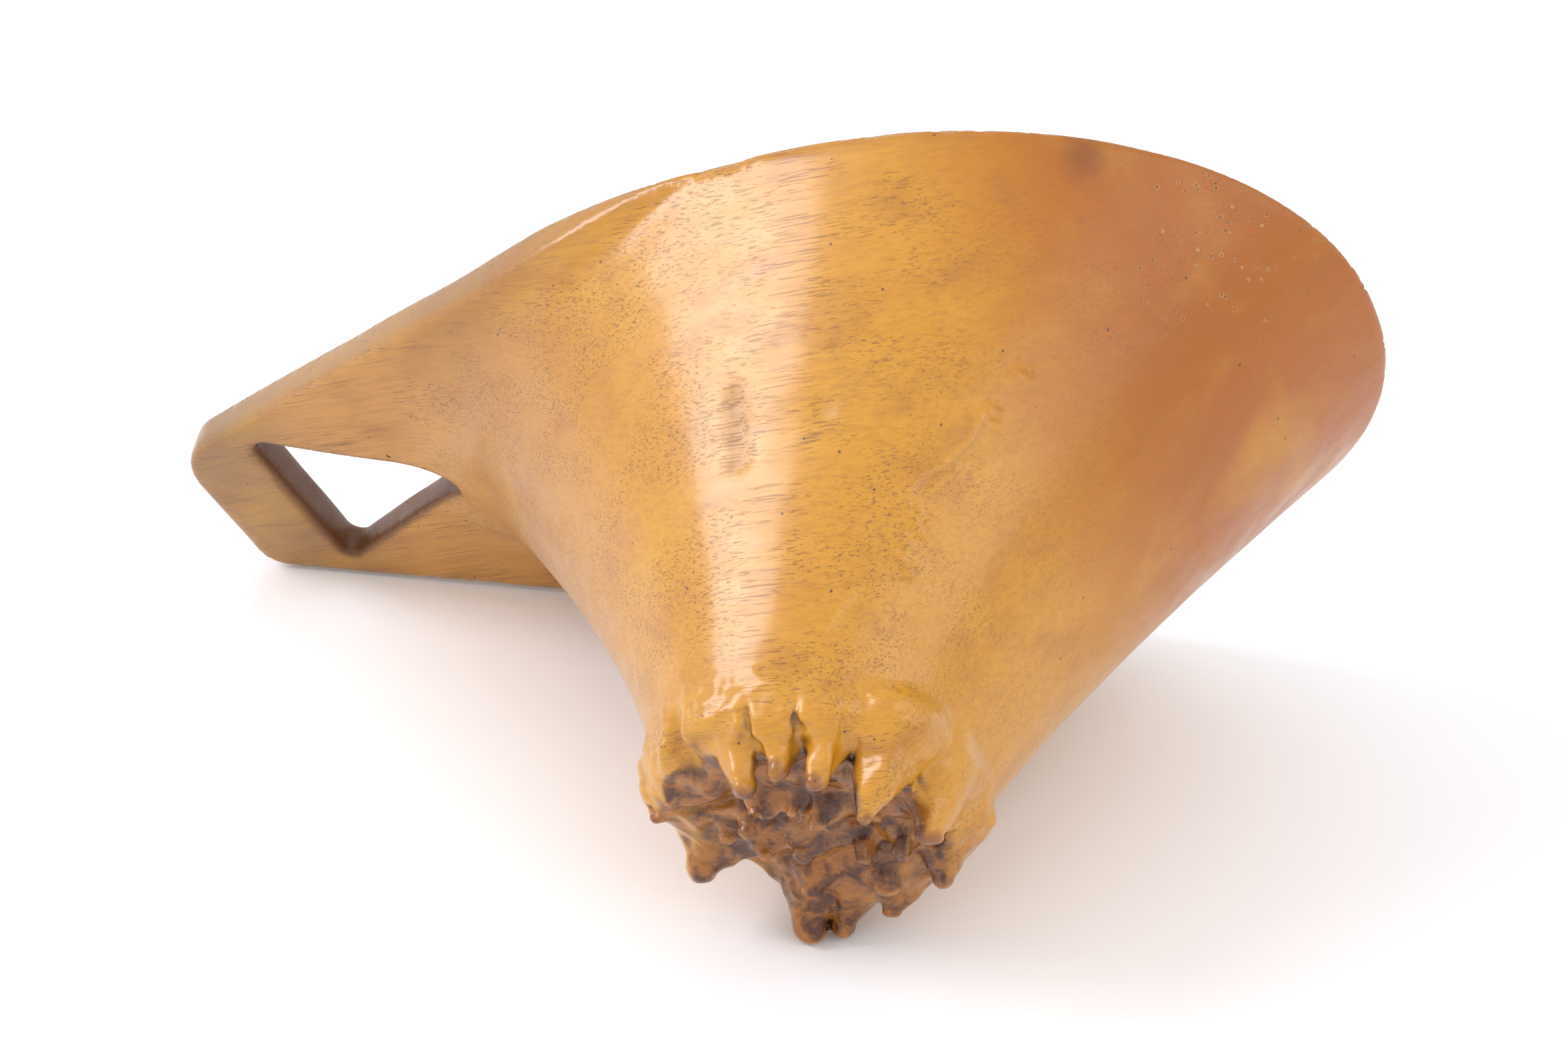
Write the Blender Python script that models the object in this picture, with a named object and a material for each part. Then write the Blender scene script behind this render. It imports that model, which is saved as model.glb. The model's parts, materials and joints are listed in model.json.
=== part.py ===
"""A carved wooden hand scoop, lying on its side.

One piece of wood: a thin horn-shaped bowl, flaring from a knobbly root crown to an oval
mouth, and a flat handle with a finger hole that lies in the plane of the mouth. The solids
are its natural regions, and they meet at narrow joints.

It is drawn upright in its own axes: X runs along the handle towards the pouring tip, Z
from the crown up to the mouth, and the mouth lies in the plane Z = 0. An empty then lays
it on its side, on the flat that its crown, rim and handle rest on.
"""

import math

import bmesh
import bpy
from mathutils import Matrix, Vector

MM = 0.001

# The mouth and the handle, which share one outline
MOUTH_TIP = 73.0 * MM            # from the widest line of the mouth to its pouring tip
MOUTH_HALF_WIDTH = 55.4 * MM
TIP_ROUNDNESS = 2.08            # 2 is an ellipse, more is squarer
SHOULDER_RADIUS = 160 * MM       # the gentle curve from the widest line into the taper
HANDLE_LENGTH = 138.5 * MM       # from the widest line to the end of the handle
HANDLE_END_HALF_WIDTH = 16.09 * MM   # at its very end, were its corners sharp
HANDLE_THICKNESS = 7 * MM
UPPER_CORNER_RADIUS = 12 * MM    # worn rounder than the corner the scoop lies on
LOWER_CORNER_RADIUS = 6.5 * MM

# The finger hole: a triangle with its point towards the bowl
HOLE_BASE = 17.5 * MM              # wood between the end of the handle and the hole
HOLE_LENGTH = 35.5 * MM
HOLE_HALF_WIDTH = 17.4 * MM
HOLE_CORNER_RADIUS = 2 * MM

# The outside of the bowl
BODY_DEPTH = 84.2 * MM           # from the mouth down to where the crown's spikes begin
NECK_HALF_LENGTH = 22.3 * MM
NECK_HALF_WIDTH = 23.9 * MM
NECK_SHIFT_X = -7 * MM           # the neck is a little off centre, as a root grows
NECK_SHIFT_Y = -3.9 * MM
HEEL = 95.4 * MM                 # how far the body reaches under the handle at the mouth
FLARE_TIP = 1.29                 # powers of the trumpet's flare at the tip, heel and sides
FLARE_HEEL = 1.39
FLARE_SIDE = 1.19
HEEL_ROUNDNESS = 1.72            # 2 is an ellipse, less is more pointed

# The hollow, which follows the outside
WALL = 3.8 * MM
HEEL_WALL = 13 * MM              # wood between the hollow and the finger hole
FLOOR_ABOVE_NECK = 16.2 * MM      # solid wood between the hollow's floor and the neck
FLOOR_ROUNDING = 15 * MM

# The root crown: each spike's direction, its drop below the neck and its reach outwards
JOINT_ABOVE_NECK = 8.2 * MM       # the joint between the bowl and the crown
CROWN_RECESS = 1.5 * MM
CROWN_KNOB = 3.5 * MM
SPIKE_SPREAD = math.radians(11)
SPIKES = (
    (20, 3.5 * MM, 0.5 * MM),
    (48, 2.5 * MM, 0.5 * MM),
    (72, 3.5 * MM, 1.5 * MM),
    (95, 4.5 * MM, 3.5 * MM),
    (114, 5.0 * MM, 3.5 * MM),
    (134, -3.5 * MM, -2.0 * MM),
    (154, 3.5 * MM, 3.0 * MM),
    (188, 1.5 * MM, 0.5 * MM),
    (217, 5.5 * MM, -1.0 * MM),
    (242, 6.0 * MM, -1.5 * MM),
    (270, 8.5 * MM, -3.0 * MM),
    (296, 7.0 * MM, -1.5 * MM),
    (322, 8.5 * MM, -2.5 * MM),
    (352, 6.0 * MM, 0.5 * MM),
)

JOINT_GAP = 0.3 * MM             # clearance between regions
HOLE_LAP = 3 * MM                # the handle's joints cross the hole this far from its ends

LEAN = math.radians(23)          # how far the mouth leans from upright as the scoop lies

BODY_LEVELS = 9
HOLLOW_LEVELS = 10
OUTLINE_TIP_STEPS = 22
OUTLINE_SHOULDER_STEPS = 5
OUTLINE_TAPER_STEPS = 7
OUTLINE_CORNER_STEPS = 5
CROWN_STEPS = 84


def clear_scene():
    """Take away whatever the file holds."""
    for obj in list(bpy.data.objects):
        bpy.data.objects.remove(obj, do_unlink=True)


def make_collection(name, hidden=False):
    """A collection in the scene; a hidden one is for cutters."""
    collection = bpy.data.collections.new(name)
    collection.hide_render = hidden
    bpy.context.scene.collection.children.link(collection)
    return collection


def make_material(name, colour, roughness, coat):
    """Varnished wood, or the rougher root."""
    material = bpy.data.materials.new(name)
    material.use_nodes = True
    shader = material.node_tree.nodes["Principled BSDF"]
    shader.inputs["Base Color"].default_value = (*colour, 1.0)
    shader.inputs["Roughness"].default_value = roughness
    shader.inputs["Metallic"].default_value = 0.0
    shader.inputs["Coat Weight"].default_value = coat
    return material


def smooth(x):
    """0 below 0, 1 above 1, and an easy slope between."""
    x = min(1.0, max(0.0, x))
    return x * x * (3 - 2 * x)


def arc(centre, radius, start, end, steps):
    """Points on an arc, both ends included."""
    angles = [start + (end - start) * i / steps for i in range(steps + 1)]
    return [Vector((centre[0] + radius * math.cos(a), centre[1] + radius * math.sin(a))) for a in angles]


def taper_angle():
    """How far each side of the handle runs in, from the shoulder's curve to the end."""
    rise = SHOULDER_RADIUS + HANDLE_END_HALF_WIDTH - MOUTH_HALF_WIDTH
    return math.asin(SHOULDER_RADIUS / math.hypot(HANDLE_LENGTH, rise)) - math.atan2(rise, HANDLE_LENGTH)


def shoulder_end():
    """Where the shoulder's curve runs into the straight taper."""
    taper = taper_angle()
    return Vector((
        -SHOULDER_RADIUS * math.sin(taper),
        MOUTH_HALF_WIDTH - SHOULDER_RADIUS * (1 - math.cos(taper)),
    ))


def half_outline(corner_radius):
    """One half of the mouth and handle, from the tip round to the handle's end."""
    quarter = math.pi / 2
    taper = taper_angle()
    squareness = 2 / TIP_ROUNDNESS
    points = [
        Vector((MOUTH_TIP * math.cos(a) ** squareness, MOUTH_HALF_WIDTH * math.sin(a) ** squareness))
        for a in (quarter * i / OUTLINE_TIP_STEPS for i in range(OUTLINE_TIP_STEPS))
    ]
    centre = (0, MOUTH_HALF_WIDTH - SHOULDER_RADIUS)
    points += arc(centre, SHOULDER_RADIUS, quarter, quarter + taper, OUTLINE_SHOULDER_STEPS)

    # The end corner: an arc that touches the taper and the end
    bend = shoulder_end()
    corner_x = -HANDLE_LENGTH + corner_radius
    line_y = bend.y + (corner_x - bend.x) * math.tan(taper)
    corner = (corner_x, line_y - corner_radius / math.cos(taper))
    corner_arc = arc(corner, corner_radius, quarter + taper, math.pi, OUTLINE_CORNER_STEPS)
    for i in range(1, OUTLINE_TAPER_STEPS):
        points.append(bend.lerp(corner_arc[0], i / OUTLINE_TAPER_STEPS))
    return points + corner_arc


def outline():
    """The whole outline, anticlockwise from the tip. The lower side, as it lies, comes first."""
    lower = half_outline(LOWER_CORNER_RADIUS)
    upper = [Vector((p.x, -p.y)) for p in reversed(half_outline(UPPER_CORNER_RADIUS)[1:])]
    return lower + upper


def oval_reach(angle, ahead, behind, side, power):
    """Distance to an oval in one direction: blunt ahead, and more pointed behind."""
    c, s = math.cos(angle), math.sin(angle)
    length = ahead
    if c > 0:
        power = TIP_ROUNDNESS
    else:
        length = behind
    return (abs(c / length) ** power + abs(s / side) ** power) ** (-1 / power)


def body_axes(depth):
    """The bowl's outer half sizes at one depth: ahead, behind and to each side."""
    t = 1 - depth / BODY_DEPTH
    return (
        NECK_HALF_LENGTH + (MOUTH_TIP - NECK_HALF_LENGTH) * t ** FLARE_TIP,
        NECK_HALF_LENGTH + (HEEL - NECK_HALF_LENGTH) * t ** FLARE_HEEL,
        NECK_HALF_WIDTH + (MOUTH_HALF_WIDTH - NECK_HALF_WIDTH) * t ** FLARE_SIDE,
    )


def hollow_axes(depth):
    """The hollow's half sizes: the outside less the wall, measured square to it."""
    heel = HANDLE_LENGTH - HOLE_BASE - HOLE_LENGTH - HEEL_WALL
    floor = BODY_DEPTH - FLOOR_ABOVE_NECK
    past = max(0.0, (depth - floor + FLOOR_ROUNDING) / FLOOR_ROUNDING)
    rounding = FLOOR_ROUNDING * (1 - math.sqrt(1 - past * past))
    inner = []
    for outer, below in zip(body_axes(depth), body_axes(depth + MM)):
        slant = math.hypot(1, (outer - below) / MM)
        inner.append(outer - WALL * slant - rounding)
    inner[1] = min(inner[1], heel)
    return inner


def section_point(angle, depth, axes):
    """A point of a level section with these half sizes, in one direction."""
    t = 1 - depth / BODY_DEPTH
    reach = oval_reach(angle, *axes, 2 - (2 - HEEL_ROUNDNESS) * t)
    x = NECK_SHIFT_X * (1 - t) + reach * math.cos(angle)
    y = NECK_SHIFT_Y * (1 - t) + reach * math.sin(angle)
    return Vector((x, y, -depth))


def body_point(angle, depth):
    """A point of the bowl's outside, in one direction at one depth below the mouth."""
    return section_point(angle, depth, body_axes(depth))


def flange_point(angle, edge):
    """A point of the handle's near face: the body's skin at the tip, the outline at the end."""
    skin = body_point(angle, HANDLE_THICKNESS)
    away = abs(math.atan2(math.sin(angle), math.cos(angle)))
    share = smooth((away - math.radians(110)) / math.radians(35))
    return skin.lerp(Vector((edge.x, edge.y, -HANDLE_THICKNESS)), share)


def loft(name, rings, collection, material):
    """A closed solid through rings of the same number of points, with flat ends."""
    mesh = bpy.data.meshes.new(name)
    bm = bmesh.new()
    rows = [[bm.verts.new(point) for point in ring] for ring in rings]
    for near, far in zip(rows, rows[1:]):
        for i in range(len(near)):
            j = (i + 1) % len(near)
            bm.faces.new((near[i], near[j], far[j], far[i]))
    for row in (rows[0], rows[-1]):
        centre = bm.verts.new(sum((v.co for v in row), Vector()) / len(row))
        for i in range(len(row)):
            bm.faces.new((row[i], row[(i + 1) % len(row)], centre))
    bmesh.ops.remove_doubles(bm, verts=bm.verts, dist=0.00001)
    bmesh.ops.recalc_face_normals(bm, faces=bm.faces)
    bm.to_mesh(mesh)
    bm.free()
    mesh.materials.append(material)
    obj = bpy.data.objects.new(name, mesh)
    collection.objects.link(obj)
    return obj


def make_blank(collection, material):
    """The bowl and the handle in one, before the finger hole and the joints are cut."""
    edge = outline()
    angles = [math.atan2(p.y, p.x) for p in edge]
    top = BODY_DEPTH - JOINT_ABOVE_NECK - JOINT_GAP / 2
    levels = [top + (HANDLE_THICKNESS - top) * i / BODY_LEVELS for i in range(BODY_LEVELS + 1)]
    rings = [[body_point(a, depth) for a in angles] for depth in levels]
    rings.append([flange_point(a, p) for a, p in zip(angles, edge)])
    rings.append([Vector((p.x, p.y, 0)) for p in edge])
    for i in range(HOLLOW_LEVELS + 1):
        depth = (BODY_DEPTH - FLOOR_ABOVE_NECK) * math.sin(math.pi / 2 * i / HOLLOW_LEVELS)
        axes = hollow_axes(depth)
        rings.append([section_point(a, depth, axes) for a in angles])
    return loft("blank", rings, collection, material)


def make_hole_cutter(collection, material):
    """The finger hole, as a rounded triangle that runs through the handle."""
    base = -HANDLE_LENGTH + HOLE_BASE
    tip = base + HOLE_LENGTH
    corners = [Vector((base, HOLE_HALF_WIDTH)), Vector((base, -HOLE_HALF_WIDTH)), Vector((tip, 0))]
    points = []
    for i, corner in enumerate(corners):
        before = (corners[i - 1] - corner).normalized()
        after = (corners[(i + 1) % 3] - corner).normalized()
        half_angle = before.angle(after) / 2
        centre = corner + (before + after).normalized() * HOLE_CORNER_RADIUS / math.sin(half_angle)
        start = corner + before * HOLE_CORNER_RADIUS / math.tan(half_angle) - centre
        end = corner + after * HOLE_CORNER_RADIUS / math.tan(half_angle) - centre
        turn = start.angle_signed(end)
        for step in range(5):
            a = math.atan2(start.y, start.x) - turn * step / 4
            points.append(centre + HOLE_CORNER_RADIUS * Vector((math.cos(a), math.sin(a))))
    rings = [[Vector((p.x, p.y, z)) for p in points] for z in (-4 * HANDLE_THICKNESS, HANDLE_THICKNESS)]
    return loft("finger_hole_cutter", rings, collection, material)


def make_box_cutter(name, low, high, collection):
    """A box between two corners, used to cut a region out of the blank."""
    mesh = bpy.data.meshes.new(name)
    bm = bmesh.new()
    bmesh.ops.create_cube(bm, size=1.0)
    size = [h - l for l, h in zip(low, high)]
    middle = Vector([(h + l) / 2 for l, h in zip(low, high)])
    bm.transform(Matrix.Translation(middle) @ Matrix.Diagonal((*size, 1.0)))
    bm.to_mesh(mesh)
    bm.free()
    obj = bpy.data.objects.new(name, mesh)
    collection.objects.link(obj)
    return obj


def cut(obj, cutter, operation):
    """Add one Boolean step to an object."""
    step = obj.modifiers.new(cutter.name, "BOOLEAN")
    step.operation = operation
    step.solver = "EXACT"
    step.object = cutter


def make_region(name, blank, hole, low, high, collections, material):
    """One region of the blank, between two corners."""
    parts, cutters = collections
    obj = bpy.data.objects.new(name, blank.data.copy())
    obj.data.name = name
    parts.objects.link(obj)
    obj.data.materials.clear()
    obj.data.materials.append(material)
    cut(obj, hole, "DIFFERENCE")
    cut(obj, make_box_cutter(name + "_region", low, high, cutters), "INTERSECT")
    return obj


def crown_rim(angle):
    """The drop and the reach of the crown's ragged rim in one direction."""
    drop, reach = 0.0, 0.0
    for direction, spike_drop, spike_reach in SPIKES:
        away = math.remainder(angle - math.radians(direction), math.tau) / SPIKE_SPREAD
        share = math.exp(-away * away)
        drop += spike_drop * share
        reach += spike_reach * share
    return drop, reach


def crown_ring(scale, depth, ragged):
    """One ring of the crown; a ragged one follows its spikes."""
    ring = []
    for i in range(CROWN_STEPS):
        angle = math.tau * i / CROWN_STEPS
        skin = body_point(angle, min(depth, BODY_DEPTH))
        drop, reach = crown_rim(angle) if ragged else (0.0, 0.0)
        centre = Vector((NECK_SHIFT_X, NECK_SHIFT_Y, 0))
        flat = Vector((skin.x, skin.y, 0)) - centre
        point = centre + flat * scale + flat.normalized() * reach
        ring.append(Vector((point.x, point.y, -depth - drop)))
    return ring


def make_crown(collection, material):
    """The knobbly root end: a solid plug with a ring of spikes round a rough hollow."""
    rings = [
        crown_ring(1.0, BODY_DEPTH - JOINT_ABOVE_NECK + JOINT_GAP / 2, False),
        crown_ring(1.0, BODY_DEPTH - JOINT_ABOVE_NECK / 2, False),
        crown_ring(1.0, BODY_DEPTH, False),
        crown_ring(0.97, BODY_DEPTH + 0.6 * MM, True),
        crown_ring(0.74, BODY_DEPTH - CROWN_RECESS, False),
        crown_ring(0.45, BODY_DEPTH, False),
        crown_ring(0.2, BODY_DEPTH + CROWN_KNOB, False),
    ]
    return loft("root_crown", rings, collection, material)


def world_points(objects):
    """The evaluated vertices of some objects, in their own axes."""
    graph = bpy.context.evaluated_depsgraph_get()
    return [v.co.copy() for obj in objects for v in obj.evaluated_get(graph).data.vertices]


def lying_frame(points):
    """The axes and origin of the part as it lies: X, Y and Z in the drawing's axes.

    It rests on the face of its convex hull that looks most nearly down when the mouth
    leans back by LEAN and the handle's lower side is level.
    """
    taper = taper_angle()
    table_line = Vector((math.cos(taper), math.sin(taper), 0))
    across = Vector((math.sin(taper), -math.cos(taper), 0))
    down = -across * math.cos(LEAN) - Vector((0, 0, 1)) * math.sin(LEAN)
    hull = bmesh.new()
    for point in points:
        hull.verts.new(point)
    bmesh.ops.convex_hull(hull, input=hull.verts)
    hull.normal_update()
    z_axis = -max((face.normal.copy() for face in hull.faces), key=lambda n: n.dot(down))
    hull.free()
    x_axis = (table_line - z_axis * table_line.dot(z_axis)).normalized()
    y_axis = z_axis.cross(x_axis)
    turn = Matrix((x_axis, y_axis, z_axis))
    turned = [turn @ point for point in points]
    low = [min(p[i] for p in turned) for i in range(3)]
    high = [max(p[i] for p in turned) for i in range(3)]
    origin = Vector(((low[0] + high[0]) / 2, (low[1] + high[1]) / 2, low[2]))
    return Matrix.Translation(-origin) @ turn.to_4x4()


def make_scoop():
    """Draw every region upright, then lay the whole scoop on its side."""
    clear_scene()
    parts = make_collection("wooden_scoop")
    cutters = make_collection("cutters", hidden=True)
    honey = make_material("honey_varnished_wood", (0.52, 0.25, 0.055), 0.3, 0.6)
    amber = make_material("amber_varnished_wood", (0.56, 0.31, 0.09), 0.35, 0.5)
    root = make_material("dark_root_wood", (0.16, 0.065, 0.03), 0.45, 0.4)

    blank = make_blank(cutters, honey)
    hole = make_hole_cutter(cutters, honey)

    far = 2 * (HANDLE_LENGTH + MOUTH_TIP)
    half_gap = JOINT_GAP / 2
    bar_joint = -HANDLE_LENGTH + HOLE_BASE + HOLE_LAP
    bowl_joint = -HANDLE_LENGTH + HOLE_BASE + HOLE_LENGTH - HOLE_LAP
    regions = (
        ("handle_grip_bar", (-far, -far), (bar_joint - half_gap, far), amber),
        ("handle_lower_arm", (bar_joint + half_gap, 0), (bowl_joint - half_gap, far), amber),
        ("handle_upper_arm", (bar_joint + half_gap, -far), (bowl_joint - half_gap, 0), amber),
        ("bowl", (bowl_joint + half_gap, -far), (far, far), honey),
    )
    objects = [
        make_region(name, blank, hole, (*low, -far), (*high, far), (parts, cutters), material)
        for name, low, high, material in regions
    ]
    objects.append(make_crown(parts, root))

    stand = bpy.data.objects.new("lying_stand", None)
    parts.objects.link(stand)
    stand.matrix_world = lying_frame(world_points(objects))
    for obj in objects:
        obj.parent = stand
        obj.data.shade_smooth()
        obj.data.set_sharp_from_angle(angle=math.radians(40))
    for cutter in cutters.objects:
        cutter.parent = stand
        cutter.hide_render = True
        cutter.display_type = "WIRE"


make_scoop()
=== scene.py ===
"""The carved wooden scoop as it looks: one continuous surface of old varnished wood.

The carving is described as a solid field, in millimetres, in the scoop's own axes: X along
the handle to the pouring tip, Z from the root crown up to the mouth, and the mouth in the
plane Z = 0. The field is turned into a mesh, which lies where the frame says.
"""

import json
import math

import bmesh
import bpy
import numpy as np
from mathutils import Matrix, Vector


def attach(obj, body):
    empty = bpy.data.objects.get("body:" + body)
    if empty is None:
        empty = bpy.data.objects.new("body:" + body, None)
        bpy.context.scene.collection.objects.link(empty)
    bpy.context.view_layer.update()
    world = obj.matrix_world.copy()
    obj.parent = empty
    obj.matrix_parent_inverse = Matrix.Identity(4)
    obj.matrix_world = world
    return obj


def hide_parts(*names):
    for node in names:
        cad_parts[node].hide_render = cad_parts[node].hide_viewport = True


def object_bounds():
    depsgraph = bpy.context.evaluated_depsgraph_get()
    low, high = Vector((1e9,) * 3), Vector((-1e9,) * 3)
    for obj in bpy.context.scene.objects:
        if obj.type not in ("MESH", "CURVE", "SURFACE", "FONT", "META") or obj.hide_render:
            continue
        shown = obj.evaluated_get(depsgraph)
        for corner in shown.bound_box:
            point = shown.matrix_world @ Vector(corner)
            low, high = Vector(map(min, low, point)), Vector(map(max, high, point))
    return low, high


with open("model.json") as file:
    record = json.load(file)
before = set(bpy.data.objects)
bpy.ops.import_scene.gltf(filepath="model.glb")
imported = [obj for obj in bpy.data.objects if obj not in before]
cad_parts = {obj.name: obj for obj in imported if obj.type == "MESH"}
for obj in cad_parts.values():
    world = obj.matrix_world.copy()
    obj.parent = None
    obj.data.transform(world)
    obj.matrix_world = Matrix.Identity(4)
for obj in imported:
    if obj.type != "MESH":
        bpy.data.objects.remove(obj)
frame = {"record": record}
CAD_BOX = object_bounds()

MM = 0.001

# The mouth and handle, in millimetres, as in the frame
MOUTH_TIP = 73.0
MOUTH_HALF_WIDTH = 55.4
TIP_ROUNDNESS = 2.08
SHOULDER_RADIUS = 160.0
TAPER = math.radians(19.5)
HANDLE_LENGTH = 138.5
HANDLE_THICKNESS = 7.0
UPPER_CORNER_RADIUS = 12.0
LOWER_CORNER_RADIUS = 6.5
HOLE_BASE = 17.5
HOLE_LENGTH = 35.5
HOLE_HALF_WIDTH = 17.4
HOLE_CORNER_RADIUS = 2.0
MOUNT_TO_WIDEST = 130.0          # from the mount on the handle's back to the widest line

# The bowl
BODY_DEPTH = 84.2
NECK = np.array((22.3, 23.9))
NECK_SHIFT = np.array((-7.0, -3.9))
HEEL = 95.4
FLARE_TIP, FLARE_HEEL, FLARE_SIDE = 1.29, 1.39, 1.19
HEEL_ROUNDNESS = 1.72
WALL = 3.8
HEEL_WALL = 13.0
FLOOR_DEPTH = 68.0
FLOOR_ROUNDING = 15.0

# Edges, as worn by hands
RIM_EDGE = 1.5
HOLE_EDGE = 1.8
HANDLE_FILLET = 9.0

# The old wood isn't quite even: how far its surface wanders, and over what length
SWELLS = ((0.18, 22.0), (0.05, 7.0))

# Depths below the mouth: the crown comes in between two of them, over a neck cut level
CROWN_BEGINS, CROWN_WHOLE = 72, 79
NECK_CUT = 84.0
CROWN_FACE = 84.6

# Meshing, in millimetres
CELL = 1.5
BLOCK = 4                        # cells along a block
NEAR = 7.5                       # a block further than this from the surface is skipped
MARGIN = 2                       # the grid's margin round the mouth and handle
DEEPEST = 97.0                   # the grid's end, below the crown
LEAST_EDGE = 0.42                # the crown's edges are divided down to this
SHARP_DEPTH, SHARP_ANGLE = 14, 0.16   # edges near the mouth bent more than this are divided
MARK_REACH = 1.6                 # the mesh is divided this far round a run or blister
LONGEST_MOVE = 0.5               # of a point that settles onto the surface


# --- Noise and blends -------------------------------------------------------------------

def smooth_min(a, b, k):
    """The lesser of two distances, with a fillet of about k where they are alike."""
    h = np.clip(0.5 + 0.5 * (b - a) / k, 0, 1)
    return b + (a - b) * h - k * h * (1 - h)


def smooth_max(a, b, k):
    """The greater of two distances, with a rounded edge of about k."""
    return -smooth_min(-a, -b, k)


def smooth_step(x, low, high):
    """0 below low, 1 above high, and an easy slope between."""
    t = np.clip((x - low) / (high - low), 0, 1)
    return t * t * (3 - 2 * t)


LATTICE = (np.random.default_rng(7).random((32, 32, 32)) * 2 - 1).astype(np.float32)


def noise(points, size):
    """Smooth noise between -1 and 1, with lumps of about this size."""
    p = points / size
    cell = np.floor(p).astype(np.int32)
    f = (p - cell).astype(np.float32)
    f = f * f * (3 - 2 * f)
    low, high = cell & 31, (cell + 1) & 31
    total = 0
    for i, wx in ((low[:, 0], 1 - f[:, 0]), (high[:, 0], f[:, 0])):
        for j, wy in ((low[:, 1], 1 - f[:, 1]), (high[:, 1], f[:, 1])):
            near = LATTICE[i, j, low[:, 2]] * (1 - f[:, 2]) + LATTICE[i, j, high[:, 2]] * f[:, 2]
            total = total + near * wx * wy
    return total


# --- The outline of the mouth and handle, and the finger hole ---------------------------

def arc(centre, radius, start, end, steps):
    """Points on an arc, both ends included."""
    a = np.linspace(start, end, steps + 1)
    return np.stack([centre[0] + radius * np.cos(a), centre[1] + radius * np.sin(a)], 1)


def half_outline(corner_radius):
    """One half of the mouth and handle, from the tip round to the handle's end."""
    quarter = math.pi / 2
    a = np.linspace(0, quarter, 40)[:-1]
    squareness = 2 / TIP_ROUNDNESS
    tip = np.stack([MOUTH_TIP * np.cos(a) ** squareness, MOUTH_HALF_WIDTH * np.sin(a) ** squareness], 1)
    shoulder = arc((0, MOUTH_HALF_WIDTH - SHOULDER_RADIUS), SHOULDER_RADIUS, quarter, quarter + TAPER, 8)
    corner_x = -HANDLE_LENGTH + corner_radius
    line_y = shoulder[-1][1] + (corner_x - shoulder[-1][0]) * math.tan(TAPER)
    corner = (corner_x, line_y - corner_radius / math.cos(TAPER))
    return np.vstack([tip, shoulder, arc(corner, corner_radius, quarter + TAPER, math.pi, 8)])


def outline():
    """The whole outline, anticlockwise from the tip."""
    lower = half_outline(LOWER_CORNER_RADIUS)
    upper = half_outline(UPPER_CORNER_RADIUS)[1:][::-1] * (1, -1)
    return np.vstack([lower, upper])


def finger_hole():
    """The finger hole's three corners, anticlockwise, drawn in by its corner radius."""
    base = -HANDLE_LENGTH + HOLE_BASE
    corners = np.array([(base, HOLE_HALF_WIDTH), (base, -HOLE_HALF_WIDTH), (base + HOLE_LENGTH, 0)])
    inner = []
    for i, corner in enumerate(corners):
        before = corners[i - 1] - corner
        after = corners[(i + 1) % 3] - corner
        before = before / np.linalg.norm(before)
        after = after / np.linalg.norm(after)
        half_angle = math.acos(float(before @ after)) / 2
        bisector = (before + after) / np.linalg.norm(before + after)
        inner.append(corner + bisector * HOLE_CORNER_RADIUS / math.sin(half_angle))
    return np.array(inner)


def polygon_distance(x, y, polygon):
    """Signed distance to a polygon in the plane, negative inside."""
    nearest = np.full(x.shape, np.inf)
    inside = np.zeros(x.shape, bool)
    for (ax, ay), (bx, by) in zip(polygon, np.roll(polygon, -1, axis=0)):
        ex, ey = bx - ax, by - ay
        t = np.clip(((x - ax) * ex + (y - ay) * ey) / (ex * ex + ey * ey), 0, 1)
        nearest = np.minimum(nearest, np.hypot(x - ax - t * ex, y - ay - t * ey))
        crosses = (ay > y) != (by > y)
        if ey != 0:
            inside ^= crosses & (x < ax + (y - ay) / ey * ex)
    return np.where(inside, -nearest, nearest)


class Plan:
    """A table of signed distances to a polygon in the mouth's plane, looked up quickly."""

    STEP = 0.4
    LOW = np.array((-HANDLE_LENGTH - 8, -MOUTH_HALF_WIDTH - 8))
    HIGH = np.array((MOUTH_TIP + 8, MOUTH_HALF_WIDTH + 8))

    def __init__(self, polygon, margin):
        self.count = np.ceil((self.HIGH - self.LOW) / self.STEP).astype(int) + 1
        x, y = (self.LOW[i] + self.STEP * np.arange(self.count[i]) for i in (0, 1))
        x, y = np.meshgrid(x, y, indexing="ij")
        self.table = polygon_distance(x, y, polygon) - margin

    def __call__(self, points):
        place = (points[:, :2] - self.LOW) / self.STEP
        cell = np.clip(np.floor(place).astype(int), 0, self.count - 2)
        fx, fy = (place - cell).T
        i, j = cell.T
        near = self.table[i, j] * (1 - fx) + self.table[i + 1, j] * fx
        far = self.table[i, j + 1] * (1 - fx) + self.table[i + 1, j + 1] * fx
        return near * (1 - fy) + far * fy


EDGE = Plan(outline(), 0)
HOLE = Plan(finger_hole(), HOLE_CORNER_RADIUS)


# --- The bowl ---------------------------------------------------------------------------

def oval_distance(points, axes, shift, t):
    """About the distance to a level section of the bowl with these half sizes."""
    x = points[:, 0] - NECK_SHIFT[0] * shift
    y = points[:, 1] - NECK_SHIFT[1] * shift
    ahead = x > 0
    length = np.where(ahead, axes[0], axes[1])
    power = np.where(ahead, TIP_ROUNDNESS, 2 - (2 - HEEL_ROUNDNESS) * t)
    ratio = (np.abs(x / length) ** power + np.abs(y / axes[2]) ** power) ** (1 / power)
    reach = np.hypot(x, y)
    return reach - reach / np.maximum(ratio, 1e-4)


def body_axes(t):
    """The bowl's outer half sizes: ahead, behind and to each side."""
    return (
        NECK[0] + (MOUTH_TIP - NECK[0]) * t ** FLARE_TIP,
        NECK[0] + (HEEL - NECK[0]) * t ** FLARE_HEEL,
        NECK[1] + (MOUTH_HALF_WIDTH - NECK[1]) * t ** FLARE_SIDE,
    )


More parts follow.
